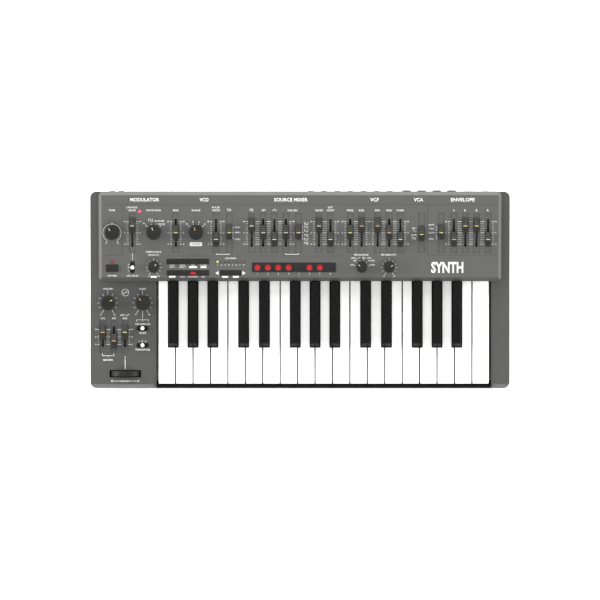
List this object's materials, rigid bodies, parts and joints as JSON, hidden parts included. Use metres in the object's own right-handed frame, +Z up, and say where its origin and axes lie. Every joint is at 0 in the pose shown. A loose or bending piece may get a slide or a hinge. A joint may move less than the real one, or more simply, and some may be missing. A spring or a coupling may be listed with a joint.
{
  "type": "synthesizer",
  "caption": "Compact keyboard synthesizer with hinged keys, a raised sloping control panel of sliders, knobs and buttons, and a left deck with a pitch bender.",
  "frame": {"origin": "centre of the footprint, on the plane the feet stand on", "axes": "+X to the player's right, +Y towards the rear wall, +Z up"},
  "size_m": [0.565, 0.267, 0.0884],
  "materials": {
    "case_plastic": "fine textured charcoal moulding",
    "panel_plastic": "satin charcoal, printed in white",
    "white_key_plastic": "glossy white",
    "black_key_plastic": "satin black",
    "pressed_steel": "zinc-plated sheet",
    "circuit_board": "green solder mask",
    "socket_plastic": "black",
    "foot_rubber": "matt black",
    "zinc": "plated",
    "toggle_tip": "glossy white",
    "wheel_plastic": "satin black",
    "button_plastic": "satin black",
    "cap_plastic": "satin dark grey with a printed line",
    "knob_plastic": "satin dark grey with a white pointer"
  },
  "bodies": {
    "case": {"bottom_case": "case_plastic", "top_case": "case_plastic", "control_panel": "panel_plastic", "keybed": "pressed_steel", "circuit_boards": "circuit_board", "rear_sockets": "socket_plastic", "usb_connector": "zinc", "feet": "foot_rubber", "screws_and_nuts": "zinc"},
    "key_f2": {"key_f2": "white_key_plastic"},
    "key_g2": {"key_g2": "white_key_plastic"},
    "key_a2": {"key_a2": "white_key_plastic"},
    "key_b2": {"key_b2": "white_key_plastic"},
    "key_c3": {"key_c3": "white_key_plastic"},
    "key_d3": {"key_d3": "white_key_plastic"},
    "key_e3": {"key_e3": "white_key_plastic"},
    "key_f3": {"key_f3": "white_key_plastic"},
    "key_g3": {"key_g3": "white_key_plastic"},
    "key_a3": {"key_a3": "white_key_plastic"},
    "key_b3": {"key_b3": "white_key_plastic"},
    "key_c4": {"key_c4": "white_key_plastic"},
    "key_d4": {"key_d4": "white_key_plastic"},
    "key_e4": {"key_e4": "white_key_plastic"},
    "key_f4": {"key_f4": "white_key_plastic"},
    "key_g4": {"key_g4": "white_key_plastic"},
    "key_a4": {"key_a4": "white_key_plastic"},
    "key_b4": {"key_b4": "white_key_plastic"},
    "key_c5": {"key_c5": "white_key_plastic"},
    "key_fs2": {"key_fs2": "black_key_plastic"},
    "key_gs2": {"key_gs2": "black_key_plastic"},
    "key_as2": {"key_as2": "black_key_plastic"},
    "key_cs3": {"key_cs3": "black_key_plastic"},
    "key_ds3": {"key_ds3": "black_key_plastic"},
    "key_fs3": {"key_fs3": "black_key_plastic"},
    "key_gs3": {"key_gs3": "black_key_plastic"},
    "key_as3": {"key_as3": "black_key_plastic"},
    "key_cs4": {"key_cs4": "black_key_plastic"},
    "key_ds4": {"key_ds4": "black_key_plastic"},
    "key_fs4": {"key_fs4": "black_key_plastic"},
    "key_gs4": {"key_gs4": "black_key_plastic"},
    "key_as4": {"key_as4": "black_key_plastic"},
    "knob_tune": {"knob_tune": "knob_plastic"},
    "knob_waveform": {"knob_waveform": "knob_plastic"},
    "knob_range": {"knob_range": "knob_plastic"},
    "knob_tempo": {"knob_tempo": "knob_plastic"},
    "knob_fm_source": {"knob_fm_source": "knob_plastic"},
    "knob_fm_amount": {"knob_fm_amount": "knob_plastic"},
    "knob_volume": {"knob_volume": "knob_plastic"},
    "knob_glide": {"knob_glide": "knob_plastic"},
    "sliders_raised": {"sliders_raised": "cap_plastic"},
    "sliders_centred": {"sliders_centred": "cap_plastic"},
    "sliders_lowered": {"sliders_lowered": "cap_plastic"},
    "selector_sliders": {"selector_sliders": "cap_plastic"},
    "bend_sliders_raised": {"bend_sliders_raised": "cap_plastic"},
    "bend_slider_lowered": {"bend_slider_lowered": "cap_plastic"},
    "toggle_lfo_rate": {"toggle_lfo_rate": "toggle_tip"},
    "toggles_glide_transpose": {"toggles_glide_transpose": "toggle_tip"},
    "bender_wheel": {"bender_wheel": "wheel_plastic"},
    "power_button": {"power_button": "button_plastic"},
    "panel_buttons": {"panel_buttons": "button_plastic"}
  },
  "joints": [
    {"name": "key_f2_press", "type": "hinge", "parent": "case", "child": "key_f2", "pos_m": [0, 0.078, 0.042], "axis": [1, 0, 0], "range_deg": [0, 2.8], "stiffness_Nm_per_rad": 1, "springref_deg": -6.88},
    {"name": "key_fs2_press", "type": "hinge", "parent": "case", "child": "key_fs2", "pos_m": [0, 0.078, 0.042], "axis": [1, 0, 0], "range_deg": [0, 2.8], "stiffness_Nm_per_rad": 1, "springref_deg": -6.88},
    {"name": "key_g2_press", "type": "hinge", "parent": "case", "child": "key_g2", "pos_m": [0, 0.078, 0.042], "axis": [1, 0, 0], "range_deg": [0, 2.8], "stiffness_Nm_per_rad": 1, "springref_deg": -6.88},
    {"name": "key_gs2_press", "type": "hinge", "parent": "case", "child": "key_gs2", "pos_m": [0, 0.078, 0.042], "axis": [1, 0, 0], "range_deg": [0, 2.8], "stiffness_Nm_per_rad": 1, "springref_deg": -6.88},
    {"name": "key_a2_press", "type": "hinge", "parent": "case", "child": "key_a2", "pos_m": [0, 0.078, 0.042], "axis": [1, 0, 0], "range_deg": [0, 2.8], "stiffness_Nm_per_rad": 1, "springref_deg": -6.88},
    {"name": "key_as2_press", "type": "hinge", "parent": "case", "child": "key_as2", "pos_m": [0, 0.078, 0.042], "axis": [1, 0, 0], "range_deg": [0, 2.8], "stiffness_Nm_per_rad": 1, "springref_deg": -6.88},
    {"name": "key_b2_press", "type": "hinge", "parent": "case", "child": "key_b2", "pos_m": [0, 0.078, 0.042], "axis": [1, 0, 0], "range_deg": [0, 2.8], "stiffness_Nm_per_rad": 1, "springref_deg": -6.88},
    {"name": "key_c3_press", "type": "hinge", "parent": "case", "child": "key_c3", "pos_m": [0, 0.078, 0.042], "axis": [1, 0, 0], "range_deg": [0, 2.8], "stiffness_Nm_per_rad": 1, "springref_deg": -6.88},
    {"name": "key_cs3_press", "type": "hinge", "parent": "case", "child": "key_cs3", "pos_m": [0, 0.078, 0.042], "axis": [1, 0, 0], "range_deg": [0, 2.8], "stiffness_Nm_per_rad": 1, "springref_deg": -6.88},
    {"name": "key_d3_press", "type": "hinge", "parent": "case", "child": "key_d3", "pos_m": [0, 0.078, 0.042], "axis": [1, 0, 0], "range_deg": [0, 2.8], "stiffness_Nm_per_rad": 1, "springref_deg": -6.88},
    {"name": "key_ds3_press", "type": "hinge", "parent": "case", "child": "key_ds3", "pos_m": [0, 0.078, 0.042], "axis": [1, 0, 0], "range_deg": [0, 2.8], "stiffness_Nm_per_rad": 1, "springref_deg": -6.88},
    {"name": "key_e3_press", "type": "hinge", "parent": "case", "child": "key_e3", "pos_m": [0, 0.078, 0.042], "axis": [1, 0, 0], "range_deg": [0, 2.8], "stiffness_Nm_per_rad": 1, "springref_deg": -6.88},
    {"name": "key_f3_press", "type": "hinge", "parent": "case", "child": "key_f3", "pos_m": [0, 0.078, 0.042], "axis": [1, 0, 0], "range_deg": [0, 2.8], "stiffness_Nm_per_rad": 1, "springref_deg": -6.88},
    {"name": "key_fs3_press", "type": "hinge", "parent": "case", "child": "key_fs3", "pos_m": [0, 0.078, 0.042], "axis": [1, 0, 0], "range_deg": [0, 2.8], "stiffness_Nm_per_rad": 1, "springref_deg": -6.88},
    {"name": "key_g3_press", "type": "hinge", "parent": "case", "child": "key_g3", "pos_m": [0, 0.078, 0.042], "axis": [1, 0, 0], "range_deg": [0, 2.8], "stiffness_Nm_per_rad": 1, "springref_deg": -6.88},
    {"name": "key_gs3_press", "type": "hinge", "parent": "case", "child": "key_gs3", "pos_m": [0, 0.078, 0.042], "axis": [1, 0, 0], "range_deg": [0, 2.8], "stiffness_Nm_per_rad": 1, "springref_deg": -6.88},
    {"name": "key_a3_press", "type": "hinge", "parent": "case", "child": "key_a3", "pos_m": [0, 0.078, 0.042], "axis": [1, 0, 0], "range_deg": [0, 2.8], "stiffness_Nm_per_rad": 1, "springref_deg": -6.88},
    {"name": "key_as3_press", "type": "hinge", "parent": "case", "child": "key_as3", "pos_m": [0, 0.078, 0.042], "axis": [1, 0, 0], "range_deg": [0, 2.8], "stiffness_Nm_per_rad": 1, "springref_deg": -6.88},
    {"name": "key_b3_press", "type": "hinge", "parent": "case", "child": "key_b3", "pos_m": [0, 0.078, 0.042], "axis": [1, 0, 0], "range_deg": [0, 2.8], "stiffness_Nm_per_rad": 1, "springref_deg": -6.88},
    {"name": "key_c4_press", "type": "hinge", "parent": "case", "child": "key_c4", "pos_m": [0, 0.078, 0.042], "axis": [1, 0, 0], "range_deg": [0, 2.8], "stiffness_Nm_per_rad": 1, "springref_deg": -6.88},
    {"name": "key_cs4_press", "type": "hinge", "parent": "case", "child": "key_cs4", "pos_m": [0, 0.078, 0.042], "axis": [1, 0, 0], "range_deg": [0, 2.8], "stiffness_Nm_per_rad": 1, "springref_deg": -6.88},
    {"name": "key_d4_press", "type": "hinge", "parent": "case", "child": "key_d4", "pos_m": [0, 0.078, 0.042], "axis": [1, 0, 0], "range_deg": [0, 2.8], "stiffness_Nm_per_rad": 1, "springref_deg": -6.88},
    {"name": "key_ds4_press", "type": "hinge", "parent": "case", "child": "key_ds4", "pos_m": [0, 0.078, 0.042], "axis": [1, 0, 0], "range_deg": [0, 2.8], "stiffness_Nm_per_rad": 1, "springref_deg": -6.88},
    {"name": "key_e4_press", "type": "hinge", "parent": "case", "child": "key_e4", "pos_m": [0, 0.078, 0.042], "axis": [1, 0, 0], "range_deg": [0, 2.8], "stiffness_Nm_per_rad": 1, "springref_deg": -6.88},
    {"name": "key_f4_press", "type": "hinge", "parent": "case", "child": "key_f4", "pos_m": [0, 0.078, 0.042], "axis": [1, 0, 0], "range_deg": [0, 2.8], "stiffness_Nm_per_rad": 1, "springref_deg": -6.88},
    {"name": "key_fs4_press", "type": "hinge", "parent": "case", "child": "key_fs4", "pos_m": [0, 0.078, 0.042], "axis": [1, 0, 0], "range_deg": [0, 2.8], "stiffness_Nm_per_rad": 1, "springref_deg": -6.88},
    {"name": "key_g4_press", "type": "hinge", "parent": "case", "child": "key_g4", "pos_m": [0, 0.078, 0.042], "axis": [1, 0, 0], "range_deg": [0, 2.8], "stiffness_Nm_per_rad": 1, "springref_deg": -6.88},
    {"name": "key_gs4_press", "type": "hinge", "parent": "case", "child": "key_gs4", "pos_m": [0, 0.078, 0.042], "axis": [1, 0, 0], "range_deg": [0, 2.8], "stiffness_Nm_per_rad": 1, "springref_deg": -6.88},
    {"name": "key_a4_press", "type": "hinge", "parent": "case", "child": "key_a4", "pos_m": [0, 0.078, 0.042], "axis": [1, 0, 0], "range_deg": [0, 2.8], "stiffness_Nm_per_rad": 1, "springref_deg": -6.88},
    {"name": "key_as4_press", "type": "hinge", "parent": "case", "child": "key_as4", "pos_m": [0, 0.078, 0.042], "axis": [1, 0, 0], "range_deg": [0, 2.8], "stiffness_Nm_per_rad": 1, "springref_deg": -6.88},
    {"name": "key_b4_press", "type": "hinge", "parent": "case", "child": "key_b4", "pos_m": [0, 0.078, 0.042], "axis": [1, 0, 0], "range_deg": [0, 2.8], "stiffness_Nm_per_rad": 1, "springref_deg": -6.88},
    {"name": "key_c5_press", "type": "hinge", "parent": "case", "child": "key_c5", "pos_m": [0, 0.078, 0.042], "axis": [1, 0, 0], "range_deg": [0, 2.8], "stiffness_Nm_per_rad": 1, "springref_deg": -6.88},
    {"name": "knob_tune_turn", "type": "hinge", "parent": "case", "child": "knob_tune", "pos_m": [-0.253, 0.077, 0.07458], "axis": [0, -0.1392, 0.9903], "range_deg": [-184, 116]},
    {"name": "knob_waveform_turn", "type": "hinge", "parent": "case", "child": "knob_waveform", "pos_m": [-0.197, 0.077, 0.07458], "axis": [0, -0.1392, 0.9903], "range_deg": [-60, 30]},
    {"name": "knob_range_turn", "type": "hinge", "parent": "case", "child": "knob_range", "pos_m": [-0.14, 0.077, 0.07458], "axis": [0, -0.1392, 0.9903], "range_deg": [-60, 30]},
    {"name": "knob_tempo_turn", "type": "hinge", "parent": "case", "child": "knob_tempo", "pos_m": [-0.197, 0.0306, 0.06806], "axis": [0, -0.1392, 0.9903], "range_deg": [-122, 178]},
    {"name": "knob_fm_source_turn", "type": "hinge", "parent": "case", "child": "knob_fm_source", "pos_m": [0.083, 0.0306, 0.06806], "axis": [0, -0.1392, 0.9903], "range_deg": [-120, 30]},
    {"name": "knob_fm_amount_turn", "type": "hinge", "parent": "case", "child": "knob_fm_amount", "pos_m": [0.12, 0.0306, 0.06806], "axis": [0, -0.1392, 0.9903], "range_deg": [-93, 207]},
    {"name": "knob_volume_turn", "type": "hinge", "parent": "case", "child": "knob_volume", "pos_m": [-0.2593, -0.0184, 0.051], "axis": [0, 0, 1], "range_deg": [-94, 206]},
    {"name": "knob_glide_turn", "type": "hinge", "parent": "case", "child": "knob_glide", "pos_m": [-0.2123, -0.0184, 0.051], "axis": [0, 0, 1], "range_deg": [-185, 115]},
    {"name": "sliders_raised_slide", "type": "slide", "parent": "case", "child": "sliders_raised", "axis": [0, 0.9903, 0.1392], "range_m": [-0.0253, 0.0047]},
    {"name": "sliders_centred_slide", "type": "slide", "parent": "case", "child": "sliders_centred", "axis": [0, 0.9903, 0.1392], "range_m": [-0.0162, 0.0138]},
    {"name": "sliders_lowered_slide", "type": "slide", "parent": "case", "child": "sliders_lowered", "axis": [0, 0.9903, 0.1392], "range_m": [-0.0071, 0.0229]},
    {"name": "selector_sliders_slide", "type": "slide", "parent": "case", "child": "selector_sliders", "axis": [0, 0.9903, 0.1392], "range_m": [-0.004, 0.004]},
    {"name": "bend_sliders_raised_slide", "type": "slide", "parent": "case", "child": "bend_sliders_raised", "axis": [0, 1, 0], "range_m": [-0.0158, 0.0042]},
    {"name": "bend_slider_lowered_slide", "type": "slide", "parent": "case", "child": "bend_slider_lowered", "axis": [0, 1, 0], "range_m": [-0.0042, 0.0158]},
    {"name": "toggle_lfo_rate_flip", "type": "hinge", "parent": "case", "child": "toggle_lfo_rate", "pos_m": [-0.2255, 0.03073, 0.06202], "axis": [1, 0, 0], "range_deg": [-12, 12]},
    {"name": "toggles_glide_transpose_flip", "type": "hinge", "parent": "case", "child": "toggles_glide_transpose", "pos_m": [-0.2123, -0.064, 0.045], "axis": [0, 1, 0], "range_deg": [-12, 12]},
    {"name": "bender_wheel_turn", "type": "hinge", "parent": "case", "child": "bender_wheel", "pos_m": [-0.2357, -0.1139, 0.0385], "axis": [0, 1, 0], "range_deg": [-25, 25], "stiffness_Nm_per_rad": 0.2},
    {"name": "power_button_press", "type": "slide", "parent": "case", "child": "power_button", "axis": [0, 0.1392, -0.9903], "range_m": [0, 0.002], "stiffness_N_per_m": 200, "springref_m": -0.002},
    {"name": "panel_buttons_press", "type": "slide", "parent": "case", "child": "panel_buttons", "axis": [0, 0.1392, -0.9903], "range_m": [0, 0.0008], "stiffness_N_per_m": 800, "springref_m": -0.001}
  ]
}
